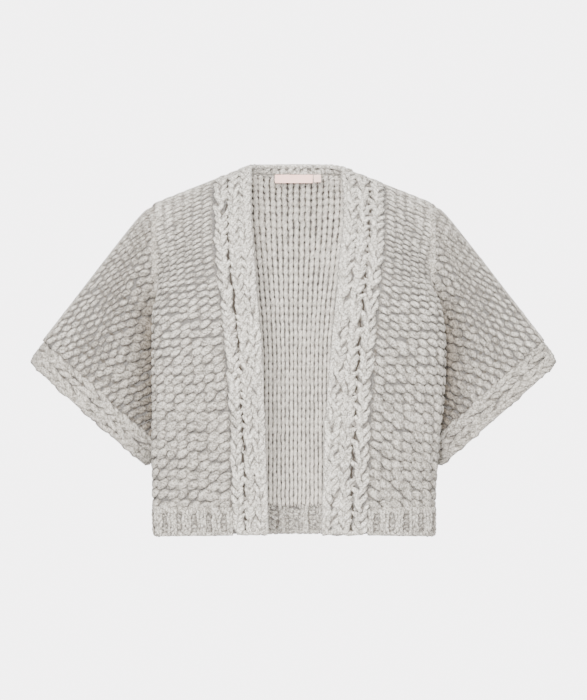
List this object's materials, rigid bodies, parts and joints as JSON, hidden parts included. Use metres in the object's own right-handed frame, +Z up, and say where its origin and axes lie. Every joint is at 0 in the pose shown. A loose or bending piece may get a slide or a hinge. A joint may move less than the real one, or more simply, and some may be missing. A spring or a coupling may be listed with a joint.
{
  "type": "short-sleeve cardigan",
  "caption": "Short-sleeve open cardigan in chunky knit, filled out as worn, with raised front bands, cuffs and a ribbed hem.",
  "frame": {"origin": "middle of the neck, level with the top of the back neck, where the wearer's shoulders carry the garment", "axes": "+Z up, the front faces -Y, the wearer's left is +X"},
  "size_m": [0.765, 0.2225, 0.5414],
  "materials": {
    "yarn": "matte chunky yarn, purl side out",
    "band_yarn": "matte chunky yarn, knit side out",
    "label_cloth": "matte woven label, bare"
  },
  "bodies": {
    "root": {"front_right": "yarn", "front_left": "yarn", "back": "yarn", "sleeve_front_right": "yarn", "sleeve_back_right": "yarn", "sleeve_front_left": "yarn", "sleeve_back_left": "yarn", "cuff_right": "band_yarn", "cuff_left": "band_yarn", "front_band_right": "band_yarn", "front_band_left": "band_yarn", "neck_band": "band_yarn", "hem_rib_front_right": "band_yarn", "hem_rib_front_left": "band_yarn", "hem_rib_back": "band_yarn", "neck_label": "label_cloth", "size_tab": "label_cloth"}
  },
  "joints": []
}
